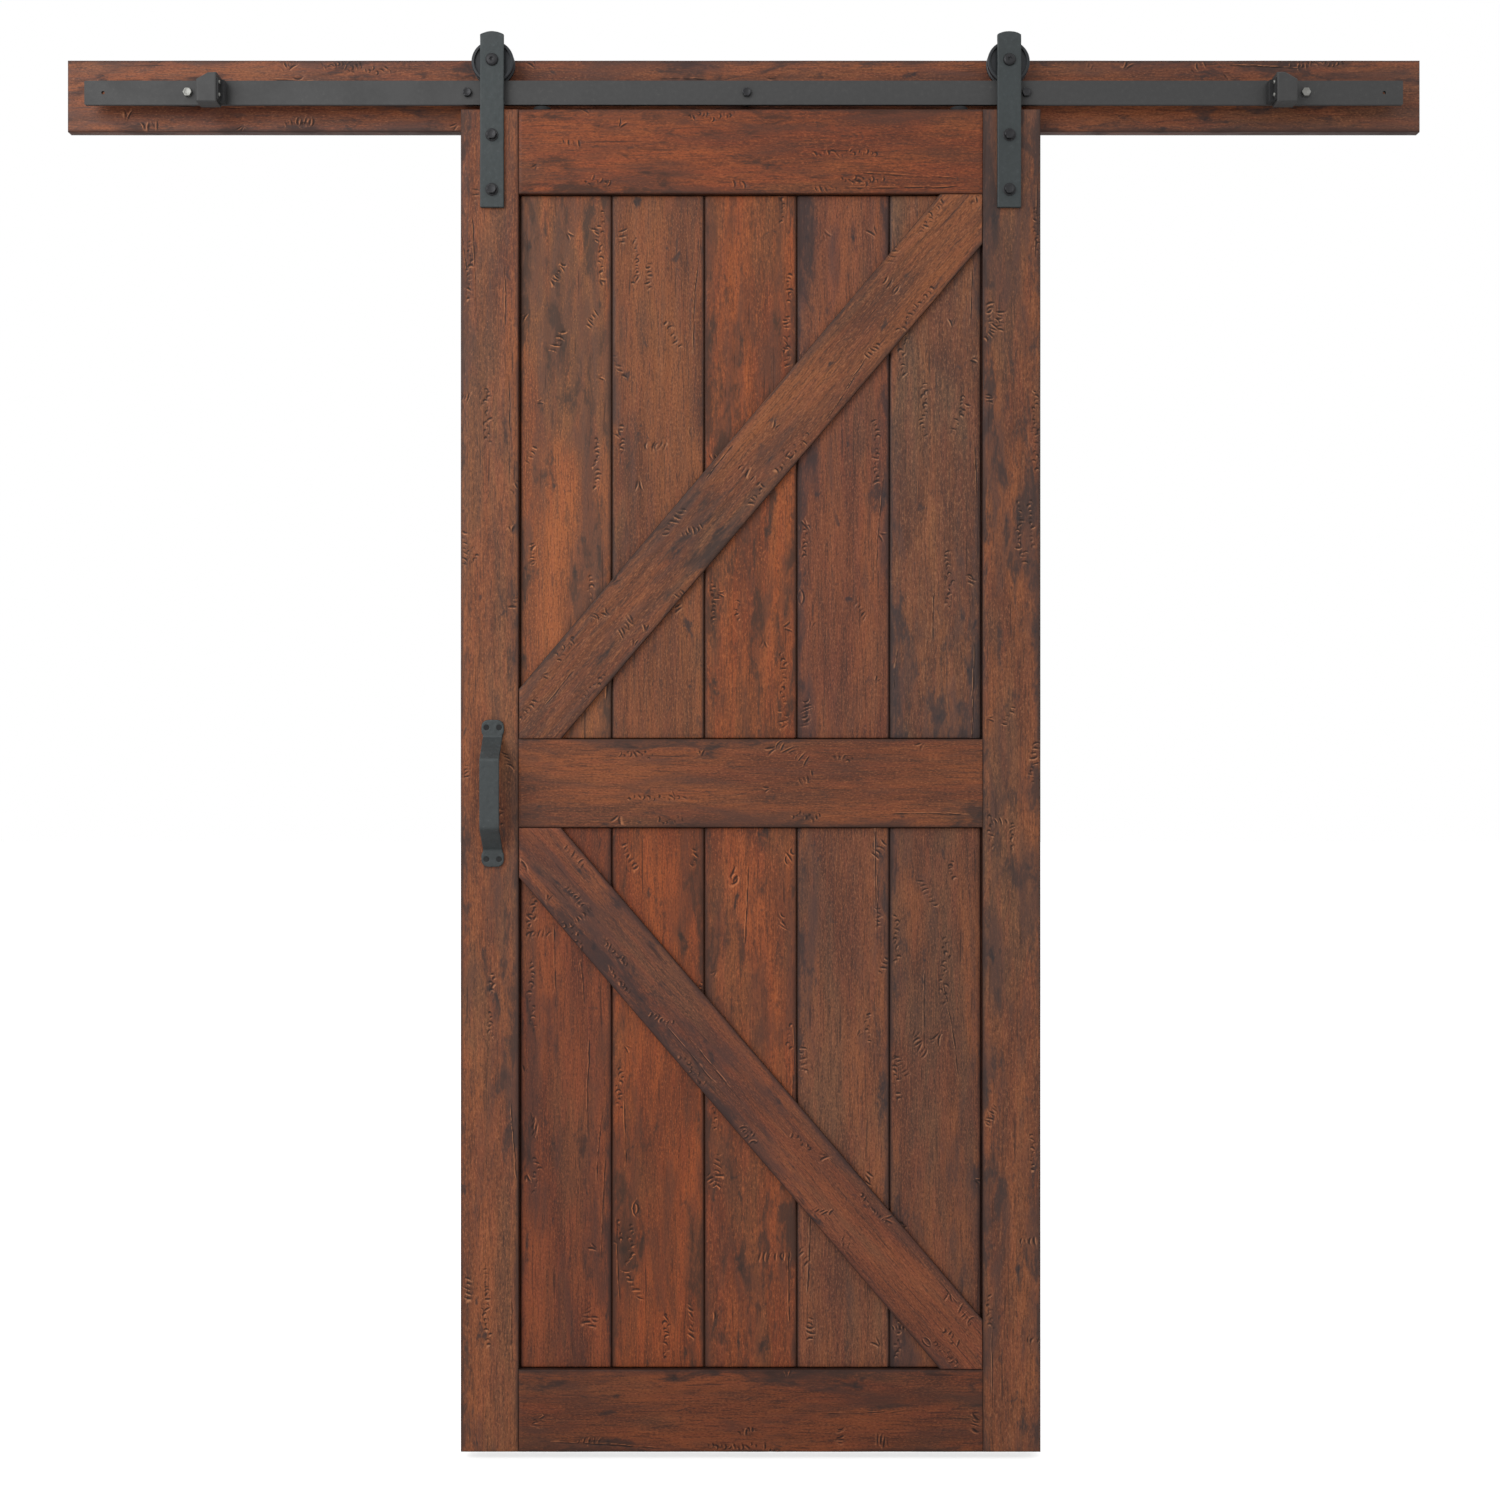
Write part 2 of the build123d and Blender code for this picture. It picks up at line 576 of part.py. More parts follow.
# The wheels with their ball bearings, and the axle bolt, bush and nut that hold each one on its strap
hub_front, hub_back = wheel_front - hub_recess, wheel_back + hub_recess
web_front, web_back = wheel_front - web_recess, wheel_back + web_recess
for side, wheel_x in strap_xs.items():
    # A turned steel wheel: two flanges either side of the groove, a raised rim ring, a recessed web and a hub
    with BuildPart() as wheel:
        turn(
            [
                (wheel_lip_radius, hub_back),
                (hub_radius, hub_back),
                (hub_radius, web_back),
                (rim_ring_inner, web_back),
                (rim_ring_inner, wheel_back),
                (wheel_radius - rim_edge, wheel_back),
                (wheel_radius, wheel_back + rim_edge),
                (wheel_radius, track_middle - groove_mouth_width / 2),
                (groove_radius, track_middle - groove_floor_width / 2),
                (groove_radius, track_middle + groove_floor_width / 2),
                (wheel_radius, track_middle + groove_mouth_width / 2),
                (wheel_radius, wheel_front - rim_edge),
                (wheel_radius - rim_edge, wheel_front),
                (rim_ring_inner, wheel_front),
                (rim_ring_inner, web_front),
                (hub_radius, web_front),
                (hub_radius, hub_front),
                (bearing_outer_radius, hub_front),
                (bearing_outer_radius, bearing_back),
                (wheel_lip_radius, bearing_back),
            ],
            wheel_x,
            wheel_height,
        )
    wheel.part.label = f"{side}_wheel"
    export_step(wheel.part, f"parts/{side}_wheel.step")

    bearing_depths = (bearing_back, bearing_front)
    with BuildPart() as outer_ring:
        rod(wheel_x, wheel_height, bearing_outer_radius, bearing_depths)
        rod(wheel_x, wheel_height, outer_ring_radius, bearing_depths, Mode.SUBTRACT)
        ball_track(wheel_x)
    outer_ring.part.label = f"{side}_bearing_outer_ring"
    export_step(outer_ring.part, f"parts/{side}_bearing_outer_ring.step")

    with BuildPart() as inner_ring:
        rod(wheel_x, wheel_height, inner_ring_radius, bearing_depths)
        rod(wheel_x, wheel_height, bearing_bore_radius, bearing_depths, Mode.SUBTRACT)
        ball_track(wheel_x)
    inner_ring.part.label = f"{side}_bearing_inner_ring"
    export_step(inner_ring.part, f"parts/{side}_bearing_inner_ring.step")

    bearing_centre = Plane(origin=(wheel_x, -track_middle, wheel_height), x_dir=(1, 0, 0), z_dir=(0, -1, 0))
    with BuildPart(bearing_centre) as bearing_balls:
        with PolarLocations(ball_circle_radius, ball_count):
            Sphere(ball_radius)
    bearing_balls.part.label = f"{side}_bearing_balls"
    export_step(bearing_balls.part, f"parts/{side}_bearing_balls.step")

    # The cage is a ring with a round pocket for each ball
    with BuildPart(bearing_centre) as bearing_cage:
        Cylinder(cage_outer_radius, cage_width)
        Cylinder(cage_inner_radius, cage_width, mode=Mode.SUBTRACT)
        with PolarLocations(ball_circle_radius, ball_count):
            Cylinder(cage_pocket_radius, cage_width, rotation=(0, 90, 0), mode=Mode.SUBTRACT)
    bearing_cage.part.label = f"{side}_bearing_cage"
    export_step(bearing_cage.part, f"parts/{side}_bearing_cage.step")

    with BuildPart() as axle_bush:
        rod(wheel_x, wheel_height, bush_radius, (bearing_front, door_front))
        rod(wheel_x, wheel_height, bearing_bore_radius, (bearing_front, door_front), Mode.SUBTRACT)
    axle_bush.part.label = f"{side}_axle_bush"
    export_step(axle_bush.part, f"parts/{side}_axle_bush.step")

    axle_nut_back = bearing_back - axle_nut_height
    with BuildPart() as axle_bolt:
        rod(wheel_x, wheel_height, axle_radius, (axle_nut_back - bolt_end_stand_out, strap_front))
        turn(
            [
                (0, strap_front),
                (axle_head_radius, strap_front),
                (axle_head_radius, strap_front + axle_head_height - axle_head_edge),
                (axle_head_radius - 2 * axle_head_edge, strap_front + axle_head_height),
                (0, strap_front + axle_head_height),
            ],
            wheel_x,
            wheel_height,
        )
    axle_bolt.part.label = f"{side}_axle_bolt"
    export_step(axle_bolt.part, f"parts/{side}_axle_bolt.step")

    with BuildPart() as axle_nut:
        flange_back = bearing_back - axle_nut_flange_height
        rod(wheel_x, wheel_height, axle_nut_flange_radius, (flange_back, bearing_back))
        hexagon(wheel_x, wheel_height, axle_nut_flats, (axle_nut_back, flange_back))
        rod(wheel_x, wheel_height, axle_radius, (axle_nut_back, bearing_back), Mode.SUBTRACT)
    axle_nut.part.label = f"{side}_axle_nut"
    export_step(axle_nut.part, f"parts/{side}_axle_nut.step")

# The pull handle, bent from one flat bar: end plates on the stile, sloped legs and a straight grip
half_length = handle_length / 2
half_grip = handle_grip_length / 2
plate_depth = door_front + handle_thickness / 2
grip_depth = plate_depth + handle_stand_off
leg_height = half_length - handle_plate_height
with BuildPart() as pull_handle:
    with BuildSketch(Plane.YZ.offset(handle_x)):
        with BuildLine():
            FilletPolyline(
                (-plate_depth, handle_centre_height + half_length),
                (-plate_depth, handle_centre_height + leg_height),
                (-grip_depth, handle_centre_height + half_grip),
                (-grip_depth, handle_centre_height - half_grip),
                (-plate_depth, handle_centre_height - leg_height),
                (-plate_depth, handle_centre_height - half_length),
                radius=handle_bend_radius + handle_thickness / 2,
            )
        trace(line_width=handle_thickness)
    extrude(amount=handle_plate_width / 2, both=True)
    with BuildSketch(Plane.XZ.offset(door_front)):
        with Locations((handle_x, handle_centre_height)):
            Rectangle(handle_bar_width, handle_length - handle_plate_height)
            with Locations(*[(0, end * (half_length - handle_plate_height / 2)) for end in (-1, 1)]):
                RectangleRounded(handle_plate_width, handle_plate_height, handle_plate_corner)
    extrude(amount=2 * handle_stand_off, mode=Mode.INTERSECT)
    plate_front = door_front + handle_thickness
    sink_depth = handle_screw_sink_radius - handle_screw_hole_radius
    for screw_x, height in handle_screw_points:
        turn(
            [
                (0, door_front),
                (handle_screw_hole_radius, door_front),
                (handle_screw_hole_radius, plate_front - sink_depth),
                (handle_screw_sink_radius, plate_front),
                (0, plate_front),
            ],
            screw_x,
            height,
            Mode.SUBTRACT,
        )
pull_handle.part.label = "pull_handle"
export_step(pull_handle.part, "parts/pull_handle.step")

# The handle's four countersunk wood screws
with BuildPart() as handle_screws:
    for screw_x, height in handle_screw_points:
        head_depth = handle_screw_head_radius - handle_screw_radius
        turn(
            [
                (0, plate_front - handle_screw_length),
                (handle_screw_radius, plate_front - handle_screw_length + 2 * handle_screw_radius),
                (handle_screw_radius, plate_front - head_depth),
                (handle_screw_head_radius, plate_front),
                (0, plate_front),
            ],
            screw_x,
            height,
        )
handle_screws.part.label = "handle_screws"
export_step(handle_screws.part, "parts/handle_screws.step")

# The anti-jump discs, screwed to the door's top edge so that they pass just under the track
disc_top = door_top + jump_disc_thickness
for side, disc_x in jump_disc_xs.items():
    with BuildPart() as jump_disc:
        with BuildSketch(Plane.XY.offset(door_top)):
            with Locations((disc_x, -door_middle)):
                Circle(jump_disc_radius)
        extrude(amount=jump_disc_thickness)
        with Locations((disc_x, -door_middle, disc_top)):
            CounterSinkHole(jump_screw_hole_radius, jump_screw_sink_radius, counter_sink_angle=90)
    jump_disc.part.label = f"{side}_jump_disc"
    export_step(jump_disc.part, f"parts/{side}_jump_disc.step")

with BuildPart() as jump_disc_screws:
    for disc_x in jump_disc_xs.values():
        head_depth = jump_screw_head_radius - jump_screw_radius
        with BuildSketch(Plane.XZ.offset(door_middle)) as screw_section:
            with BuildLine():
                Polyline(
                    (disc_x, disc_top - jump_screw_length),
                    (disc_x + jump_screw_radius, disc_top - jump_screw_length + 2 * jump_screw_radius),
                    (disc_x + jump_screw_radius, disc_top - head_depth),
                    (disc_x + jump_screw_head_radius, disc_top),
                    (disc_x, disc_top),
                    close=True,
                )
            make_face()
        revolve(screw_section.sketch, axis=Axis((disc_x, -door_middle, 0), (0, 0, 1)))
jump_disc_screws.part.label = "jump_disc_screws"
export_step(jump_disc_screws.part, "parts/jump_disc_screws.step")
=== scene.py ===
import json
import math

import bmesh
import bpy
import numpy as np
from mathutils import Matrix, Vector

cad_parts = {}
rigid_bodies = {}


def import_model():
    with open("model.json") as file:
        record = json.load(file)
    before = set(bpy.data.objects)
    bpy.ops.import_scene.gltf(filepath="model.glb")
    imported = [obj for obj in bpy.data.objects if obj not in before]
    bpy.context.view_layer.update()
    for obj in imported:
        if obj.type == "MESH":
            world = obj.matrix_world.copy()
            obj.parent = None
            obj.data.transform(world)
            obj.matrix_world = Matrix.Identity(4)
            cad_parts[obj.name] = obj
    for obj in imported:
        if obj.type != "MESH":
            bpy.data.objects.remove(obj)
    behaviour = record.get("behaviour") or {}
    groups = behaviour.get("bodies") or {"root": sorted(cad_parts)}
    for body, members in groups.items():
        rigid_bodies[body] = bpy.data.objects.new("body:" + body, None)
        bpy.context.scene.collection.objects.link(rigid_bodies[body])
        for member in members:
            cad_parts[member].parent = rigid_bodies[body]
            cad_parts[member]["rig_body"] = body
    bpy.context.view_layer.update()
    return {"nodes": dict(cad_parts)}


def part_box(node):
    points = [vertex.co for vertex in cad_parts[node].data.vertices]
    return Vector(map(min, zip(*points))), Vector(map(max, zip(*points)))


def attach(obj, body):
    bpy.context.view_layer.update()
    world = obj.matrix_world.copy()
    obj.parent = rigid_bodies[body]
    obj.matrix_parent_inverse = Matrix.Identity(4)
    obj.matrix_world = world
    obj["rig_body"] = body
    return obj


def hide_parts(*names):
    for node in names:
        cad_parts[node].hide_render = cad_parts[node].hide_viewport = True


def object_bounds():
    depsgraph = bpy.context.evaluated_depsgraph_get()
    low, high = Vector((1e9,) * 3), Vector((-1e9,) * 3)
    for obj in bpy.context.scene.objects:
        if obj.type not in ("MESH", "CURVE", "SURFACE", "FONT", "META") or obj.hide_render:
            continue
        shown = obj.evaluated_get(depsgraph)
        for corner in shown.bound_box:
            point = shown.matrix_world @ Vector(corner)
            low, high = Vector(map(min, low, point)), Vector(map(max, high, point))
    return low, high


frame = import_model()

# The header board: one long plank of the door's own wood, screwed to the wall through the track.
# It is sawn square, eased along its front edges, beaten and scraped by hand, and stained red-brown.


class Pin:
    """An output in a material's node tree. Arithmetic on it adds Math nodes."""

    def __init__(self, tree, socket=None):
        self.tree = tree
        self.socket = socket

    def node(self, kind, settings=None, inputs=None, output=0):
        made = self.tree.nodes.new("ShaderNode" + kind)
        for key, value in (settings or {}).items():
            setattr(made, key, value)
        for key, value in (inputs or {}).items():
            if isinstance(value, Pin):
                self.tree.links.new(value.socket, made.inputs[key])
            else:
                made.inputs[key].default_value = value
        return Pin(self.tree, made.outputs[output]) if made.outputs else None

    def math(self, operation, first, second):
        return self.node("Math", {"operation": operation}, {0: first, 1: second})

    def __add__(self, other):
        return self.math("ADD", self, other)

    def __radd__(self, other):
        return self.math("ADD", other, self)

    def __sub__(self, other):
        return self.math("SUBTRACT", self, other)

    def __rsub__(self, other):
        return self.math("SUBTRACT", other, self)

    def __mul__(self, other):
        return self.math("MULTIPLY", self, other)

    def __rmul__(self, other):
        return self.math("MULTIPLY", other, self)

    def stretched(self, *by):
        return self.node("VectorMath", {"operation": "MULTIPLY"}, {0: self, 1: by})

    def noise(self, detail=2.0, roughness=0.5, distortion=0.0):
        shape = {"Detail": detail, "Roughness": roughness, "Distortion": distortion}
        return self.node("TexNoise", {}, {"Vector": self, "Scale": 1.0, **shape})

    def step(self, low, high, to_low=0.0, to_high=1.0):
        """A soft step from to_low, where this is low, to to_high, where it is high."""
        inputs = {"Value": self, "From Min": low, "From Max": high, "To Min": to_low, "To Max": to_high}
        return self.node("MapRange", {"interpolation_type": "SMOOTHSTEP"}, inputs)

    def between(self, first, second):
        """A colour from first, where this is 0, to second, where it is 1."""
        return self.node("Mix", {"data_type": "RGBA"}, {0: self, 6: first, 7: second}, 2)


def tint(*card):
    """A linear colour from the red, green and blue of 0 to 255 that a paint card gives."""
    shares = [c / 255 for c in card]
    return (*(((c + 0.055) / 1.055) ** 2.4 if c > 0.04045 else c / 12.92 for c in shares), 1.0)


def blank_finish(name):
    """A new material with no nodes, and the pin that its nodes grow from."""
    material = bpy.data.materials.new(name)
    material.use_nodes = True
    material.node_tree.nodes.clear()
    return material, Pin(material.node_tree)


def coat(pins, colour, bump, **inputs):
    """The surface shader of a finish, and the material's output."""
    surface = pins.node("BsdfPrincipled", {}, {"Base Color": colour, "Normal": bump, **inputs})
    pins.node("OutputMaterial", {}, {"Surface": surface})


stained_wood, pins = blank_finish("stained_wood")
grain = pins.node("Attribute", {"attribute_name": "grain"}, {}, "Vector")
wear = pins.node("Attribute", {"attribute_name": "wear"}, {}, "Vector")
dents_and_bevels = wear.node("SeparateXYZ", {}, {0: wear}, "X")
edge = wear.node("SeparateXYZ", {}, {0: wear}, "Y")
beside = wear.node("SeparateXYZ", {}, {0: wear}, "Z")
tone = pins.node("Attribute", {"attribute_name": "tone"}, {}, "Vector")

# Stain takes unevenly along the grain: soft bands of brown and orange, with redder flames in them
bands = grain.stretched(3.2, 18.0, 18.0).noise(4.0, 0.5, 0.4)
hue = grain.stretched(2.4, 10.0, 10.0).noise(2.0, 0.5, 0.6)
flame = grain.stretched(9.0, 75.0, 75.0).noise(3.0, 0.55, 0.5)
fibre = grain.stretched(24.0, 380.0, 380.0).noise(3.0, 0.65)
body = bands.step(0.36, 0.64).between(tint(106, 60, 41), tint(148, 85, 50))
body = hue.step(0.50, 0.66, 0.0, 0.3).between(body, tint(150, 84, 48))
body = hue.step(0.50, 0.34, 0.0, 0.6).between(body, tint(114, 80, 56))
body = flame.step(0.46, 0.66, 0.0, 0.4).between(body, tint(144, 78, 52))
body = flame.step(0.46, 0.34, 0.0, 0.4).between(body, tint(96, 62, 47))
body = fibre.step(0.50, 0.34, 0.0, 0.7).between(body, tint(74, 44, 32))
body = fibre.step(0.56, 0.70, 0.0, 0.45).between(body, tint(172, 106, 66))
fleck = grain.stretched(210.0, 520.0, 520.0).noise(2.0, 0.6)
body = fleck.step(0.48, 0.30, 0.0, 0.6).between(body, tint(62, 40, 33))
body = fleck.step(0.53, 0.70, 0.0, 0.45).between(body, tint(180, 114, 76))

# Soft smudges of grey, plum and slate, as mineral stain and old dirt leave them, each with darker cores
drift = grain.stretched(2.2, 6.0, 6.0).noise(1.0)
cloud = grain.stretched(7.0, 30.0, 30.0).noise(4.0, 0.6, 0.3)
speckle = grain.stretched(95.0, 240.0, 240.0).noise(2.0, 0.6)
plum = (cloud + (drift - 0.5) * 0.5 + beside * 0.06 + (fibre - 0.5) * 0.16).step(0.49, 0.73, 0.0, 0.75)
body = plum.between(body, tint(86, 58, 49))
spread = grain.stretched(13.0, 46.0, 46.0).noise(4.0, 0.60, 0.5)
slate = (spread + (drift - 0.5) * 0.6 + beside * 0.13 + (speckle - 0.5) * 0.2).step(0.59, 0.78, 0.0, 0.8)
body = slate.between(body, tint(64, 50, 46))
blot = grain.stretched(30.0, 38.0, 38.0).noise(3.0, 0.6, 0.5)
soot = (blot + (spread - 0.5) * 0.7).step(0.66, 0.80, 0.0, 0.75)
body = soot.between(body, tint(52, 43, 42))

# Fine checks along the grain, dark stain in the dents, bevels along the joints and edges made darker the
# deeper they lie, and paler wood on the dents' rubbed rims
checks = grain.stretched(9.0, 210.0, 210.0).noise(2.0, 0.5, 0.3).step(0.66, 0.74, 0.0, 0.7)
body = checks.between(body, tint(58, 36, 29))
caught = (fibre - 0.5) * 0.5 + (speckle - 0.5) * 0.5
body = (dents_and_bevels + caught).step(-0.05, -0.5, 0.0, 0.8).between(body, tint(192, 128, 88))
body = (dents_and_bevels + caught).step(0.12, 0.65, 0.0, 0.9).between(body, tint(42, 25, 18))
grime = (edge + (cloud - 0.5) * 1.1).step(0.45, 1.15, 0.0, 0.75)
body = grime.between(body, tint(62, 42, 35))
body = pins.node("Mix", {"data_type": "RGBA", "blend_type": "MULTIPLY"}, {0: 1.0, 6: body, 7: tone}, 2)

relief = fibre * 0.4 + flame * 0.25 + speckle * 0.3 - checks * 0.5
bump = pins.node("Bump", {}, {"Strength": 0.6, "Distance": 0.0009, "Height": relief})
sheen = (0.52 + (fibre - 0.5) * 0.3 + slate * 0.12).step(0.0, 1.0)
coat(pins, body, bump, Roughness=sheen, **{"Specular IOR Level": 0.28})

hair = 0.00004
face_column = 0.0045
back_column = 0.011
station_step = 0.006
arris_column = 0.001
refined_cuts = 3


def section(face, body, back, front, bevel, back_bevel=0.0):
    """A board's outline, as (across, depth) points: close columns on the face, wide ones on the back."""
    low, high = face
    columns = round((high - low - 2 * bevel) / face_column)
    face_points = np.linspace(low + bevel + arris_column, high - bevel - arris_column, columns)
    face_points = [low + bevel, *face_points, high - bevel]
    back_columns = round((body[1] - body[0]) / back_column)
    back_points = np.linspace(body[0] + back_bevel, body[1] - back_bevel, back_columns)
    shoulder = front - bevel - arris_column
    points = [(v, front) for v in face_points] + [(high, front - bevel), (high, shoulder)]
    if body[1] > high:
        points.append((body[1], shoulder))
    middle = (back + front) / 2
    points += [(body[1], middle), (body[1], back + back_bevel)]
    points += [(v, back) for v in back_points[::-1]]
    points += [(body[0], back + back_bevel), (body[0], middle)]
    if body[0] < low:
        points.append((body[0], shoulder))
    points += [(low, shoulder), (low, front - bevel)]
    kept = [p for p, q in zip(points, points[1:] + points[:1]) if math.dist(p, q) > hair]
    return np.array(kept)


def sweep(outline, ends, place):
    """A closed mesh that carries the outline along a board, with a flat cap at each end."""
    stations = np.linspace(*ends, round((ends[1] - ends[0]) / station_step) + 1)
    count, rings = len(outline), len(stations)
    u = np.repeat(stations, count)
    v, d = np.tile(outline, (rings, 1)).T
    corner = np.arange(count * (rings - 1))
    following = corner - corner % count + (corner + 1) % count
    sides = np.stack([corner, following, following + count, corner + count], 1)
    caps = [list(range(count))[::-1], list(range(count * (rings - 1), count * rings))]
    mesh = bpy.data.meshes.new("blank")
    mesh.from_pydata(place(u, v, d).tolist(), [], sides.tolist() + caps)
    return mesh


def weld(mesh):
    """Joins a mesh's doubled corners and turns its faces outward."""
    made = bmesh.new()
    made.from_mesh(mesh)
    bmesh.ops.remove_doubles(made, verts=made.verts, dist=hair / 20)
    bmesh.ops.recalc_face_normals(made, faces=made.faces)
    made.to_mesh(mesh)
    made.free()


def common(mesh, node):
    """What a blank shares with a CAD board: it is cut to length, jointed and bored."""
    tool = frame["nodes"][node].copy()
    tool.data = tool.data.copy()
    tool.parent = None
    blank = bpy.data.objects.new("blank", mesh)
    for piece in (tool, blank):
        bpy.context.scene.collection.objects.link(piece)
        weld(piece.data)
    joinery = blank.modifiers.new("joinery", "BOOLEAN")
    joinery.operation, joinery.solver, joinery.object = "INTERSECT", "MANIFOLD", tool
    cut = bpy.data.meshes.new_from_object(blank.evaluated_get(bpy.context.evaluated_depsgraph_get()))
    for piece in (tool, blank):
        bpy.data.objects.remove(piece)
    return cut


cut_half_width = 0.0014
cut_depth = 0.0009
split_half_width = 0.0009
split_depth = 0.0010


def tool_marks(rng, length, width, crowd):
    """The strokes beaten and scraped into a board's face, each (path, half width, depth).

    crowd is how many marks lie on a square metre.
    """
    strokes = []

    def stroke(u, v, heading, reach, bend=0.0, half_width=cut_half_width, depth=cut_depth):
        turns = np.linspace(-0.5, 0.5, 5)
        steps = heading + bend * turns
        path = np.stack([u + reach * turns * np.cos(steps), v + reach * turns * np.sin(steps)], 1)
        strokes.append((path, half_width * rng.uniform(0.8, 1.2), depth * rng.uniform(0.5, 1.3)))

    def chatter(u, v):
        """A rasp's chatter: short cuts side by side, across the grain or slanted."""
        slant, pitch = math.pi / 2 + rng.normal(0, 0.4), rng.uniform(0.005, 0.009)
        reach, run = rng.uniform(0.011, 0.022), rng.choice([0.0, 0.0, 0.5, -0.5, math.pi / 2])
        for i in range(rng.integers(3, 8)):
            wander = rng.normal(0, 0.0016)
            heading = slant + run + rng.normal(0, 0.2)
            place = u + i * pitch * math.cos(run), v + i * pitch * math.sin(run) + wander
            stroke(*place, heading, reach * rng.uniform(0.6, 1.1), rng.normal(0, 0.5))

    def knife(u, v):
        """Two cuts of a knife that meet in a V."""
        heading, reach = rng.uniform(0, 2 * math.pi), rng.uniform(0.010, 0.020)
        opening = rng.uniform(0.5, 1.0)
        for side in (-1, 1):
            towards = heading + side * opening / 2
            middle = u + reach / 2 * math.cos(towards), v + reach / 2 * math.sin(towards)
            stroke(*middle, towards, reach, side * 0.3)

    def gnawed(u, v):
        """A run of small curls along the grain, as if gnawed."""
        pitch = rng.uniform(0.005, 0.008)
        for i in range(rng.integers(5, 16)):
            heading, reach = rng.normal(1.9, 0.5), rng.uniform(0.005, 0.013)
            stroke(u + i * pitch, v + rng.normal(0, 0.0025), heading, reach, rng.normal(0.9, 0.6))

    def split(u, v):
        """A long split that wanders with the grain."""
        reach, way = rng.uniform(0.06, 0.18), rng.normal(0, 0.025)
        for part in range(4):
            way += rng.normal(0, 0.03)
            bend = rng.normal(0, 0.1)
            stroke(u + part * reach / 4, v, way, reach / 3.2, bend, split_half_width, split_depth)
            v += reach / 4 * math.sin(way)

    def knot(u, v):
        """A shallow oval gouge with a lip round it."""
        for side in (-1, 1):
            stroke(u, v + side * rng.uniform(0.003, 0.005), 0.0, rng.uniform(0.020, 0.034), side * -0.8)

    kinds, shares = [chatter, knife, gnawed, split, knot], [0.36, 0.19, 0.28, 0.15, 0.02]
    for _ in range(round(length * width * crowd)):
        # Three marks in five keep near a long edge, where a real board is knocked most
        near_edge = rng.random() < 0.6
        across = rng.choice([-1, 1]) * rng.uniform(0.34, 0.47) if near_edge else rng.uniform(-0.4, 0.4)
        mark = rng.choice(kinds, p=shares)
        mark(rng.uniform(-0.48, 0.46) * length, across * width)
    return strokes


def depth_of(strokes, u, v, spare=0.0):
    """How deep the strokes reach at each point, and how near the points lie to their rims."""
    deepest, rims = np.zeros(len(u)), np.zeros(len(u))
    for path, half_width, depth in strokes:
        reach = half_width * 3 + spare
        low, high = path.min(0) - reach, path.max(0) + reach
        near = np.flatnonzero((u > low[0]) & (u < high[0]) & (v > low[1]) & (v < high[1]))
        if not len(near):
            continue
        best, aside, run = np.full(len(near), np.inf), np.zeros(len(near)), np.zeros(len(near))
        point = np.stack([u[near], v[near]], 1)
        for part, (start, end) in enumerate(zip(path[:-1], path[1:])):
            along = end - start
            share = np.clip((point - start) @ along / (along @ along), 0, 1)
            away = point - start - share[:, None] * along
            gap = np.linalg.norm(away, axis=1)
            nearer = gap < best
            best = np.where(nearer, gap, best)
            aside = np.where(nearer, away[:, 1] * along[0] - away[:, 0] * along[1], aside)
            run = np.where(nearer, (part + share) / (len(path) - 1), run)
        # A stroke is widest and deepest at its middle, and throws up a lip on one side only
        taper = 1 - 0.75 * (2 * run - 1) ** 2
        cut = depth * taper * np.exp(-((best / (half_width * (0.4 + 0.6 * taper) + spare)) ** 2))
        deepest[near] = np.maximum(deepest[near], cut)
        lip = taper * np.exp(-(((np.sign(aside) * best - 1.6 * half_width) / (0.6 * half_width)) ** 2))
        rims[near] = np.maximum(rims[near], lip * depth / cut_depth)
    return deepest, rims


refine_from = 0.00014
refine_margin = 0.0025


def refine(mesh, strokes, read, front):
    """Divides the face finely where strokes cut it, so that each cut has its true shape."""
    made = bmesh.new()
    made.from_mesh(mesh)
    u, v, d = read(np.array([face.calc_center_median() for face in made.faces]))
    near = depth_of(strokes, u, v, refine_margin)[0]
    chosen = np.flatnonzero((near > refine_from) & (d > front - hair))
    made.faces.ensure_lookup_table()
    made.edges.ensure_lookup_table()
    touched = sorted({edge.index for i in chosen for edge in made.faces[i].edges})
    edges = [made.edges[i] for i in touched]
    bmesh.ops.subdivide_edges(made, edges=edges, cuts=refined_cuts, use_grid_fill=True)
    made.to_mesh(mesh)
    made.free()


planing_depth = 0.00012
edge_wear_depth = 0.0006
edge_wear_reach = 0.004
grime_reach = 0.006
smudge_reach = 0.022
face_fade = 0.003
back_fade = 0.002


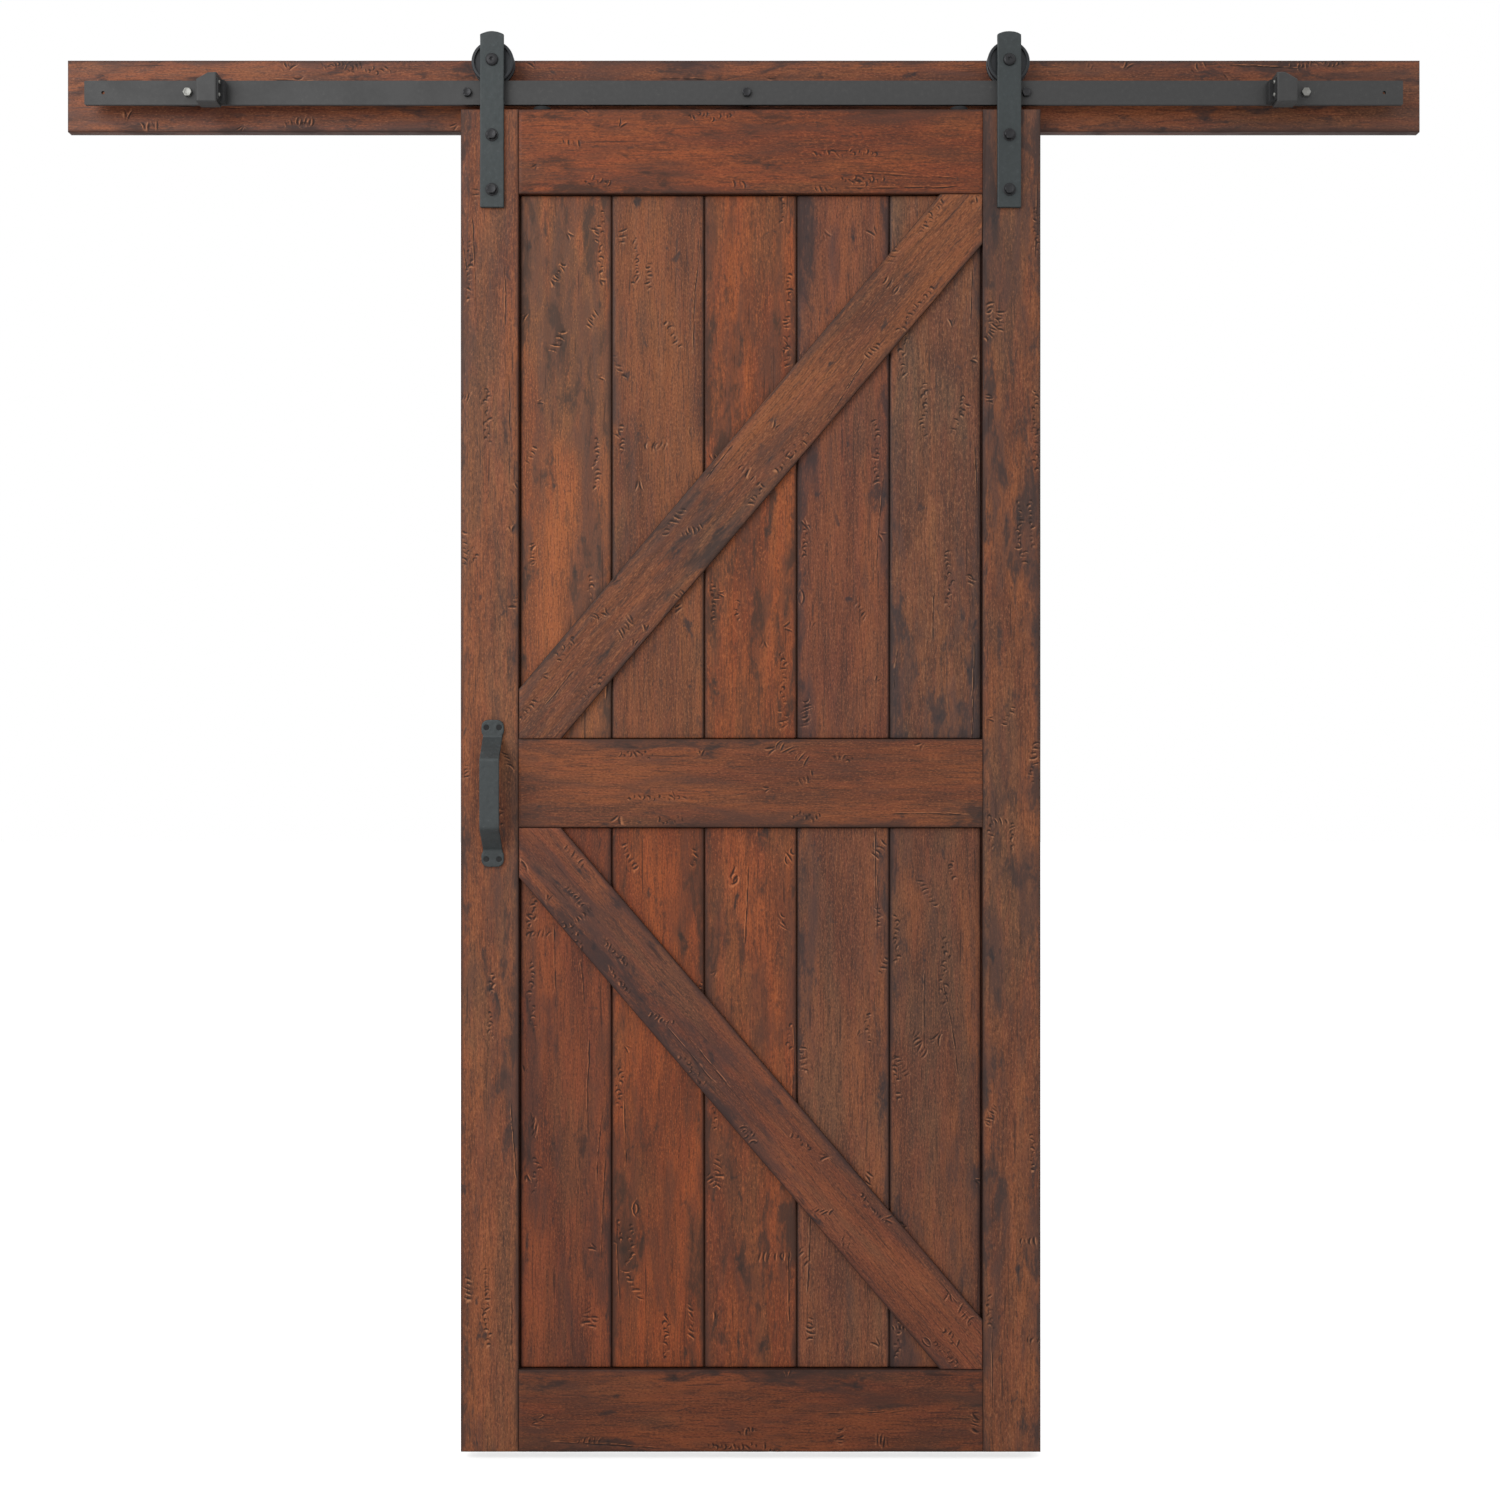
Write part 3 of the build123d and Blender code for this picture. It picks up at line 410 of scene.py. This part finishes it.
def board(node, along, across, outline, ends, seed, tone, bevel_darkening=0.5, crowd=130):
    """One wooden board: swept, jointed as its CAD node, beaten, scraped and stained.

    The argument after tone is how much darker its bevels along its edges are made, the deeper the darker.
    """
    rng = np.random.default_rng(seed)
    low, high = (np.array(corner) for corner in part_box(node))
    centre = (low + high) / 2
    centre[1] = 0.0
    out = np.array([0.0, -1.0, 0.0])
    front, back = outline[:, 1].max(), outline[:, 1].min()
    face_low, face_high = outline[outline[:, 1] > front - hair / 2, 0][[0, -1]]
    width, length = face_high - face_low, ends[1] - ends[0]

    def place(u, v, d):
        return centre + u[:, None] * along + v[:, None] * across + d[:, None] * out

    def read(points):
        """How far points lie along the board, across its face and out from the wall."""
        local = points - centre
        return local @ along, local @ across - (face_low + face_high) / 2, local @ out

    mesh = common(sweep(outline, ends, place), node)
    strokes = tool_marks(rng, length, width, crowd)
    refine(mesh, strokes, read, front)

    points = np.empty(len(mesh.vertices) * 3)
    mesh.vertices.foreach_get("co", points)
    points = points.reshape(-1, 3)
    u, v, d = read(points)
    marks, rims = depth_of(strokes, u, v)
    # Hand planing leaves long shallow hollows, about a thumb wide
    phase = rng.uniform(0, 2 * math.pi, 6)
    hollows = np.zeros(len(u))
    for i in range(6):
        drift = 1.4 * np.sin(u * (5 + 2.5 * i) + phase[5 - i])
        hollows += math.sin(1.7 * i + phase[i]) * np.sin(v * (90 + 55 * i) + phase[i] + drift)
    planed = planing_depth * (hollows - hollows.min())
    edge_distance = np.minimum(v + width / 2, width / 2 - v)
    knocks = 1 + 0.8 * np.sin(u * 31 + phase[1]) * np.sin(u * 12.7 + phase[2])
    worn = edge_wear_depth * np.exp(-np.maximum(edge_distance, 0) / edge_wear_reach) * knocks
    near_face = np.clip((d - front + face_fade) / face_fade, 0, 1)
    near_back = np.clip((back + back_fade - d) / back_fade, 0, 1)
    sunk = near_face * (planed + marks + worn) - near_back * planed
    points -= sunk[:, None] * out
    mesh.vertices.foreach_set("co", points.ravel())

    # What the stain follows at each point: the grain, the cuts and the edges
    shift = rng.uniform(-40, 40, 3)
    grain = np.stack([u + shift[0], v + shift[1], d + shift[2]], 1)
    bevel = np.abs(outline[:, 1] - front)
    bevel = bevel[bevel > hair].min()
    # The bevels are made darker the deeper a point lies below the face, by the amount given after tone
    bevel_sink = np.clip((front - d) / bevel, 0, 1) * (d > front - bevel - hair)
    stain = (marks / cut_depth - 0.7 * rims) * near_face + bevel_darkening * bevel_sink
    edge = np.exp(-np.maximum(edge_distance, 0) / grime_reach)
    beside = np.exp(-np.maximum(edge_distance, 0) / smudge_reach)
    wear = np.stack([stain, edge, beside], 1)
    for name, values in (("grain", grain), ("wear", wear), ("tone", np.tile(tone, (len(u), 1)))):
        mesh.attributes.new(name, "FLOAT_VECTOR", "POINT").data.foreach_set("vector", values.ravel())

    mesh.polygons.foreach_set("use_smooth", [True] * len(mesh.polygons))
    mesh.set_sharp_from_angle(angle=math.radians(50))
    mesh.materials.clear()
    mesh.materials.append(stained_wood)
    mesh.name = f"worn_{node}"
    piece = bpy.data.objects.new(f"worn_{node}", mesh)
    bpy.context.scene.collection.objects.link(piece)
    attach(piece, frame["nodes"][node]["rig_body"])
    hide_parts(node)


rightwards, upwards = np.array([1.0, 0.0, 0.0]), np.array([0.0, 0.0, 1.0])


def straight(node, along, across, bevel, back_bevel, seed, tone, face=None, bevel_darkening=0.5):
    """A board square with the door, as large as its CAD node. face is where its front lies, across it."""
    low, high = (np.array(corner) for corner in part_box(node))
    half_width = (high - low) @ abs(across) / 2 - hair
    half_length = (high - low) @ abs(along) / 2 - hair
    back, front = -high[1] + hair, -low[1] - hair
    body = (-half_width, half_width)
    outline = section(face or body, body, back, front, bevel, back_bevel)
    board(node, along, across, outline, (-half_length, half_length), seed, tone, bevel_darkening)


header_arris = 0.0015
straight("header_board", rightwards, upwards, header_arris, 0.0, seed=11, tone=(0.90, 0.90, 0.95))

# The door's frame: two stiles the full height of the door, and three rails tenoned between them.
# Their long edges are eased, and the planks' tongues run in a groove round each opening.
door_arris = 0.0012
upright = {"left_stile": (21, (0.90, 0.90, 0.90)), "right_stile": (22, (0.85, 0.90, 0.95))}
level = {"top_rail": (23, (0.85, 0.65, 0.50)), "middle_rail": (24, (0.80, 0.75, 0.70))}
level["bottom_rail"] = (25, (0.65, 0.55, 0.50))
for node, (seed, tone) in upright.items():
    straight(node, upwards, -rightwards, door_arris, door_arris, seed, tone)
for node, (seed, tone) in level.items():
    straight(node, rightwards, upwards, door_arris, door_arris, seed, tone)

# The panels: five planks each, tongued and grooved together, with a V down every joint.
# They stand free in the frame's groove, set back from its face, with a thin gap all round.
plank_bevel = 0.0024
joint_gap = 0.0008
shadow_gap = 0.0012
opening = (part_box("left_stile")[1].x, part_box("right_stile")[0].x)
# How each plank takes the stain, from left to right: factors on its red, green and blue
upper_tones = [(1.15, 1.10, 0.95), (0.85, 0.90, 0.90), (1.05, 0.85, 0.65)]
upper_tones += [(0.80, 0.80, 0.90), (0.80, 0.95, 1.10)]
lower_tones = [(0.80, 0.65, 0.60), (1.00, 0.75, 0.55), (1.00, 0.80, 0.65)]
lower_tones += [(0.80, 0.85, 0.95), (0.75, 0.80, 0.90)]
for panel, first_seed, tones in (("upper", 31, upper_tones), ("lower", 41, lower_tones)):
    for number in range(1, 6):
        node = f"{panel}_plank_{number}"
        low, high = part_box(node)
        pitch = (opening[1] - opening[0]) / 5
        joint = opening[0] + pitch * (number - 1)
        left = joint + (shadow_gap if number == 1 else joint_gap / 2)
        right = joint + pitch - (shadow_gap if number == 5 else joint_gap / 2)
        middle = (low.x + high.x) / 2
        face = (middle - right + hair, middle - left - hair)
        seed = first_seed + number - 1
        straight(node, upwards, -rightwards, plank_bevel, 0.0, seed, tones[number - 1], face, 1.0)

# The braces: one board across each panel from corner to corner, mitred to the opening.
# Each lies on the planks and is flush with the frame, with its grain along its own slope.
brace_width = 0.1016
brace_fit = 0.0006
brace_arris = 0.0015
brace_crowd = 240
braces = {"upper_brace": (1, 51, (0.85, 0.90, 0.90)), "lower_brace": (-1, 52, (0.80, 0.75, 0.80))}
for node, (rise, seed, tone) in braces.items():
    low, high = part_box(node)
    wide, tall = high.x - low.x + 2 * brace_fit, high.z - low.z + 2 * brace_fit
    diagonal = math.hypot(wide, tall)
    along = np.array([wide, 0.0, rise * tall]) / diagonal
    across = np.array([-rise * tall, 0.0, wide]) / diagonal
    edge_line = (hair - brace_width / 2, brace_width / 2 - hair)
    outline = section(edge_line, edge_line, -high.y + hair, -low.y - hair, brace_arris)
    half = (diagonal + brace_width) / 2
    board(node, along, across, outline, (-half, half), seed, tone, crowd=brace_crowd)

# The hanger straps: flat mild steel bar, cut, arched at the top and hammered before it was coated.
# The matt coat is a dark blue-grey, cloudy, dimpled by the hammer and worn paler in spots.


def painted_steel(name, colour, rubbed, roughness, mottle, hammer, metallic=0.25):
    """A matt coat on steel, cloudy over a hand's width, pitted, and rubbed to a paler tone in spots."""
    material, pins = blank_finish(name)
    place = pins.node("TexCoord", {}, {}, "Object")
    cloud = place.stretched(14.0, 14.0, 14.0).noise(4.0, 0.6)
    dimple = place.stretched(150.0, 150.0, 150.0).noise(2.0, 0.5)
    fine = place.stretched(1100.0, 1100.0, 1100.0).noise(2.0, 0.6)
    dark = tuple(c * (1 - mottle) for c in colour[:3]) + (1.0,)
    light = tuple(c * (1 + mottle) for c in colour[:3]) + (1.0,)
    shade = (cloud * 0.55 + dimple * 0.25 + fine * 0.2).step(0.38, 0.62).between(dark, light)
    scuff = (dimple * 0.5 + fine * 0.5).step(0.60, 0.70, 0.0, 0.5)
    shade = scuff.between(shade, rubbed)
    height = dimple * hammer + fine * 0.15
    bump = pins.node("Bump", {}, {"Strength": 0.5, "Distance": 0.0008, "Height": height})
    rough = cloud.step(0.3, 0.7, roughness - 0.07, roughness + 0.09)
    coat(pins, shade, bump, Roughness=rough, Metallic=metallic)
    return material


def adopt(mesh, node, material, name):
    """Puts a mesh into the scene in place of a CAD node, in the finish of its slot."""
    mesh.materials.clear()
    mesh.materials.append(material)
    mesh.name = name
    piece = bpy.data.objects.new(name, mesh)
    bpy.context.scene.collection.objects.link(piece)
    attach(piece, frame["nodes"][node]["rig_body"])
    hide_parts(node)


def welded(node):
    """A copy of a CAD node's mesh, with its corners joined."""
    mesh = frame["nodes"][node].data.copy()
    weld(mesh)
    return mesh


def forged(node, material, grid, blows, depth, seed):
    """A bar under the hammer: its edges rounded and its faces covered with shallow overlapping blows."""
    rng = np.random.default_rng(seed)
    blank = bpy.data.objects.new("blank", welded(node))
    bpy.context.scene.collection.objects.link(blank)
    remesh = blank.modifiers.new("grid", "REMESH")
    remesh.mode, remesh.voxel_size = "VOXEL", grid
    mesh = bpy.data.meshes.new_from_object(blank.evaluated_get(bpy.context.evaluated_depsgraph_get()))
    bpy.data.objects.remove(blank)
    points, normals = np.empty(len(mesh.vertices) * 3), np.empty(len(mesh.vertices) * 3)
    mesh.vertices.foreach_get("co", points)
    mesh.vertices.foreach_get("normal", normals)
    points, normals = points.reshape(-1, 3), normals.reshape(-1, 3)
    low, high = points.min(0), points.max(0)
    # The whole skin goes in by a tenth of the grid, so that none of it stands past the CAD piece
    skin = grid * 0.1
    sunk = np.full(len(points), skin)
    for centre in rng.uniform(low, high, (blows, 3)):
        centre = points[np.argmin(((points - centre) ** 2).sum(1))]
        reach = rng.uniform(0.0035, 0.0075)
        bowl = np.clip(1 - ((points - centre) ** 2).sum(1) / reach**2, 0, 1)
        sunk = np.maximum(sunk, skin + depth * rng.uniform(0.4, 1.0) * bowl)
    points -= sunk[:, None] * normals
    mesh.vertices.foreach_set("co", points.ravel())
    mesh.polygons.foreach_set("use_smooth", [True] * len(mesh.polygons))
    adopt(mesh, node, material, f"forged_{node}")


strap_steel = painted_steel(
    "strap_steel", tint(53, 59, 60), tint(86, 92, 95), roughness=0.55, mottle=0.14, hammer=0.6
)
for side, seed in (("left", 61), ("right", 62)):
    forged(f"{side}_hanger_strap", strap_steel, grid=0.0013, blows=260, depth=0.00028, seed=seed)

# The pull handle: one flat bar bent hot into a flattened arch, with rounded plates drawn out at its ends.
# It is hammered all over and coated like the straps.
handle_iron = painted_steel(
    "handle_iron", tint(55, 60, 61), tint(98, 102, 103), roughness=0.48, mottle=0.14, hammer=0.6
)
forged("pull_handle", handle_iron, grid=0.0012, blows=300, depth=0.00035, seed=63)

# The track, its tube spacers and the end stops: plain mild steel with broken edges under a dark grey coat.
# The stops are cast blocks, rougher than the rolled bar.


def eased(node, material, width):
    """A machined or rolled piece with its edges broken by a small round."""
    mesh = welded(node)
    made = bmesh.new()
    made.from_mesh(mesh)
    bmesh.ops.dissolve_limit(made, angle_limit=math.radians(1), verts=made.verts, edges=made.edges)
    made.to_mesh(mesh)
    made.free()
    blank = bpy.data.objects.new("blank", mesh)
    bpy.context.scene.collection.objects.link(blank)
    ease = blank.modifiers.new("ease", "BEVEL")
    ease.width, ease.segments, ease.angle_limit = width, 2, math.radians(35)
    mesh = bpy.data.meshes.new_from_object(blank.evaluated_get(bpy.context.evaluated_depsgraph_get()))
    bpy.data.objects.remove(blank)
    mesh.polygons.foreach_set("use_smooth", [True] * len(mesh.polygons))
    mesh.set_sharp_from_angle(angle=math.radians(22))
    adopt(mesh, node, material, f"eased_{node}")


track_steel = painted_steel(
    "track_steel", tint(63, 63, 63), tint(90, 88, 84), roughness=0.62, mottle=0.10, hammer=0.25
)
eased("track", track_steel, 0.0007)
for number in range(1, 6):
    eased(f"track_spacer_{number}", track_steel, 0.0006)
for side, seed in (("left", 64), ("right", 65)):
    forged(f"{side}_stop_block", track_steel, grid=0.0011, blows=60, depth=0.00018, seed=seed)

# The bolts: hex lag screws into the wall, flanged hex bolts with washers and nuts through the straps,
# and the axle bolts with their flanged nuts. Heads are chamfered and threads are rolled.
# All are blackened but the two zinc-plated lag screws at the ends.
turns = 48
angles = np.linspace(0, 2 * math.pi, turns, endpoint=False)


def disc(radius):
    """A round: the same radius at each angle."""
    return np.full(turns, radius)


def hexagon(flats, corner):
    """A hexagon across its flats, with its corners turned down to a radius."""
    return np.minimum(flats / 2 / np.cos(angles % (math.pi / 3) - math.pi / 6), corner)


def thread(start, end, crest, pitch, height):
    """The rings of a rolled thread between two depths."""
    depths = np.linspace(start, end, max(2, round(abs(end - start) / pitch * 6)))
    return [(d, crest - height * abs(2 * ((d / pitch + angles / (2 * math.pi)) % 1) - 1)) for d in depths]


def turned(node, material, places, rings, bored=False):
    """Copies of one turned piece, square to the wall.

    rings are (depth, radius at each angle), from one end to the other, or all the way round a bored piece.
    """
    points, faces = [], []
    count = len(rings)
    for x, z in places:
        first = len(points)
        for depth, radii in rings:
            points += [(x + r * math.cos(a), -depth, z + r * math.sin(a)) for r, a in zip(radii, angles)]
        for ring in range(count if bored else count - 1):
            for i in range(turns):
                near, far = first + ring * turns, first + (ring + 1) % count * turns
                faces.append((near + i, near + (i + 1) % turns, far + (i + 1) % turns, far + i))
        if not bored:
            faces.append(range(first + turns - 1, first - 1, -1))
            faces.append(range(first + (count - 1) * turns, first + count * turns))
    mesh = bpy.data.meshes.new(f"turned_{node}")
    mesh.from_pydata(points, [], faces)
    made = bmesh.new()
    made.from_mesh(mesh)
    bmesh.ops.recalc_face_normals(made, faces=made.faces)
    made.to_mesh(mesh)
    made.free()
    mesh.polygons.foreach_set("use_smooth", [True] * len(mesh.polygons))
    mesh.set_sharp_from_angle(angle=math.radians(32))
    adopt(mesh, node, material, f"turned_{node}")


def hex_head(seat, height, flats):
    """The rings of a chamfered hex head with a shallow dish in its top."""
    corner = flats / 2 / math.cos(math.pi / 6)
    return [
        (seat, hexagon(flats, corner)),
        (seat + height * 0.82, hexagon(flats, corner)),
        (seat + height * 0.92, hexagon(flats, corner * 0.96)),
        (seat + height, hexagon(flats, flats * 0.47)),
        (seat + height, disc(flats * 0.42)),
        (seat + height * 0.94, disc(flats * 0.36)),
    ]


def spots(node, count, head):
    """Where a row of bolts lies: count of them, evenly spaced in their CAD node's box."""
    low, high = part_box(node)
    return [(x, (low.z + high.z) / 2) for x in np.linspace(low.x + head, high.x - head, count)]


dark_fasteners = painted_steel(
    "dark_fasteners", tint(44, 44, 46), tint(96, 94, 92),
    roughness=0.38, mottle=0.12, hammer=0.1, metallic=0.6,
)
bright_steel = painted_steel(
    "bright_steel", tint(132, 132, 128), tint(166, 166, 164),
    roughness=0.38, mottle=0.14, hammer=0.2, metallic=0.8,
)
track_face = -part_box("track")[0].y
head_height = 0.0054
lag_flats = 0.0127
lag_shank = 0.0039
lag_corner = lag_flats / 2 / math.cos(math.pi / 6)
lag_rings = [(-0.045, disc(0.0003)), (-0.0415, disc(0.0017))]
lag_rings += thread(-0.0385, -0.003, lag_shank, pitch=0.0028, height=0.0009)
lag_rings += [(0.0, disc(lag_shank)), (track_face, disc(lag_shank))]
lag_rings += hex_head(track_face, head_height, lag_flats)
turned("end_lag_bolts", bright_steel, spots("end_lag_bolts", 2, lag_corner), lag_rings)
turned("middle_lag_bolts", dark_fasteners, spots("middle_lag_bolts", 3, lag_corner), lag_rings)

strap_face, strap_back = -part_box("left_hanger_strap")[0].y, -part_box("left_hanger_strap")[1].y
stile_back = -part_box("left_stile")[1].y
low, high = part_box("strap_bolts")
flange = 0.010
flange_height = 0.0016
shank = 0.0040
bolt_places = [(x, z) for x in (low.x + flange, high.x - flange) for z in (low.z + flange, high.z - flange)]
bolt_tail = -high.y
bolt_rings = [(bolt_tail, disc(0.0034)), (bolt_tail + 0.0006, disc(0.0039))]
bolt_rings += thread(bolt_tail + 0.0008, stile_back + 0.006, shank, pitch=0.00125, height=0.0006)
bolt_rings += [(stile_back + 0.0065, disc(shank)), (strap_face, disc(shank))]
bolt_rings += [(strap_face, disc(flange)), (strap_face + 0.0007, disc(flange))]
bolt_rings += [(strap_face + flange_height, disc(0.0088))]
bolt_rings += hex_head(strap_face + flange_height, head_height, 0.014)
turned("strap_bolts", dark_fasteners, bolt_places, bolt_rings)


def nut(node, places, bore, flats, back, front, flange=None):
    """Hex nuts, chamfered at the outer end, with a flange or a plain seat at the front."""
    corner = flats / 2 / math.cos(math.pi / 6)
    tall = front - back
    rings = [(back, disc(bore)), (back, hexagon(flats, flats * 0.47))]
    rings += [(back + tall * 0.12, hexagon(flats, corner))]
    if flange:
        rings += [(front - 0.0016, hexagon(flats, corner)), (front - 0.0010, disc(flange * 0.98))]
        rings += [(front, disc(flange))]
    else:
        rings += [(front - tall * 0.10, hexagon(flats, corner)), (front, hexagon(flats, flats * 0.48))]
    turned(node, dark_fasteners, places, rings + [(front, disc(bore))], bored=True)


washer_back = -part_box("strap_washers")[1].y
nut("strap_nuts", bolt_places, shank, 0.013, -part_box("strap_nuts")[1].y, washer_back)
washer_bore, washer_edge, washer_rim, washer_round = 0.0042, 0.0107, 0.011, 0.0003
washer = [(washer_back, disc(washer_bore)), (washer_back, disc(washer_edge))]
washer += [(washer_back + washer_round, disc(washer_rim)), (stile_back - washer_round, disc(washer_rim))]
washer += [(stile_back, disc(washer_edge)), (stile_back, disc(washer_bore))]
turned("strap_washers", dark_fasteners, bolt_places, washer, bored=True)

axle = 0.0050
dome_flat = 0.0058
dome_round = 0.0042
socket = hexagon(0.006, math.inf)
for side in ("left", "right"):
    low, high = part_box(f"{side}_axle_bolt")
    centre = [((low.x + high.x) / 2, (low.z + high.z) / 2)]
    tail, top = -high.y, -low.y
    rings = [(tail, disc(0.0043)), (tail + 0.0007, disc(0.0049))]
    rings += thread(tail + 0.0009, tail + 0.0115, axle, pitch=0.0015, height=0.0007)
    rings += [(tail + 0.012, disc(axle)), (strap_face, disc(axle)), (strap_face, disc(0.0098))]
    for lean in np.linspace(0.35, 1.5, 6):
        depth = top - dome_round + dome_round * math.sin(lean)
        rings += [(depth, disc(dome_flat + dome_round * math.cos(lean)))]
    rings += [(top - 0.00002, socket), (top - 0.0024, socket), (top - 0.003, disc(0.0012))]
    turned(f"{side}_axle_bolt", dark_fasteners, centre, rings)
    low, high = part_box(f"{side}_axle_nut")
    nut(f"{side}_axle_nut", centre, axle, 0.015, -high.y, -low.y, 0.009)

# The rolling gear and small pieces: wheels, bearing rings, bushes, discs, rubber buffers and screws.
# Each keeps its machined shape with its edges broken. The balls and their cages stay as modelled.
wheel_steel = painted_steel(
    "wheel_steel", tint(30, 33, 37), tint(66, 70, 76), roughness=0.42, mottle=0.12, hammer=0.1
)
bearing_steel = painted_steel(
    "bearing_steel", tint(180, 180, 180), tint(214, 214, 214),
    roughness=0.22, mottle=0.04, hammer=0.0, metallic=1.0,
)
bearing_cage = painted_steel(
    "bearing_cage", tint(120, 110, 90), tint(140, 130, 110),
    roughness=0.5, mottle=0.05, hammer=0.1, metallic=0.0,
)
black_nylon = painted_steel(
    "black_nylon", tint(22, 22, 23), tint(34, 34, 34),
    roughness=0.8, mottle=0.10, hammer=0.1, metallic=0.0,
)
rubber = painted_steel(
    "rubber", tint(27, 27, 28), tint(52, 52, 52), roughness=0.8, mottle=0.14, hammer=0.4, metallic=0.0
)
for side in ("left", "right"):
    eased(f"{side}_wheel", wheel_steel, 0.0005)
    eased(f"{side}_bearing_outer_ring", bearing_steel, 0.0003)
    eased(f"{side}_bearing_inner_ring", bearing_steel, 0.0003)
    eased(f"{side}_axle_bush", dark_fasteners, 0.0004)
    eased(f"{side}_jump_disc", black_nylon, 0.0006)
    eased(f"{side}_stop_buffer", rubber, 0.0007)
eased("buffer_screws", bright_steel, 0.0003)
eased("handle_screws", black_nylon, 0.0002)
eased("set_screws", dark_fasteners, 0.0002)
eased("jump_disc_screws", dark_fasteners, 0.0002)
for side in ("left", "right"):
    for node, finish in ((f"{side}_bearing_balls", bearing_steel), (f"{side}_bearing_cage", bearing_cage)):
        frame["nodes"][node].data.materials.clear()
        frame["nodes"][node].data.materials.append(finish)

# The floor, a pale plane just under the door, and the studio's soft light and white backdrop
floor_gap = 0.012
floor_size = 40.0
bpy.ops.mesh.primitive_plane_add(size=floor_size, location=(0, 0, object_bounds()[0][2] - floor_gap))
floor = bpy.context.object
floor.name = "floor"
material, pins = blank_finish("floor")
seen = pins.node("LightPath", {}, {}, "Is Camera Ray")
glow = seen * 0.6
coat(
    pins,
    (0.8, 0.8, 0.8, 1.0),
    pins.node("Bump", {}, {"Strength": 0.0}),
    Roughness=0.9,
    **{"Emission Color": (1.0, 1.0, 1.0, 1.0), "Emission Strength": glow},
)
floor.data.materials.append(material)

world = bpy.data.worlds.new("studio")
bpy.context.scene.world = world
world.use_nodes = True
world.node_tree.nodes.clear()
pins = Pin(world.node_tree)
rays = [pins.node("LightPath", {}, {}, f"Is {kind} Ray") for kind in ("Camera", "Glossy", "Transmission")]
seen = (rays[0] + rays[1] + rays[2]).step(0.0, 1.0, 0.7, 1.0)
light = pins.node("Background", {}, {"Color": (1.0, 1.0, 1.0, 1.0), "Strength": seen})
pins.node("OutputWorld", {}, {"Surface": light})


def soft_box(name, place, aim, size, power):
    """A square soft box that faces a point."""
    lamp = bpy.data.lights.new(name, "AREA")
    lamp.size, lamp.energy = size, power
    box = bpy.data.objects.new(name, lamp)
    bpy.context.scene.collection.objects.link(box)
    box.location = place
    towards = np.array(aim) - np.array(place)
    box.rotation_euler = (
        math.atan2(math.hypot(towards[0], towards[1]), -towards[2]),
        0,
        math.atan2(-towards[0], towards[1]),
    )


soft_box("key", (-2.6, -3.2, 0.8), (0, 0, -0.9), 3.0, 85)

# The camera stands square to the door, 3 m in front of it
camera = bpy.data.objects.new("camera", bpy.data.cameras.new("camera"))
bpy.context.scene.collection.objects.link(camera)
camera.location = (0.010, -3.062, -1.046)
camera.rotation_euler = (math.pi / 2, 0, 0)
camera.data.lens = 45.67
camera.data.sensor_width = 36.0
bpy.context.scene.camera = camera
bpy.context.scene.view_settings.view_transform = "Standard"
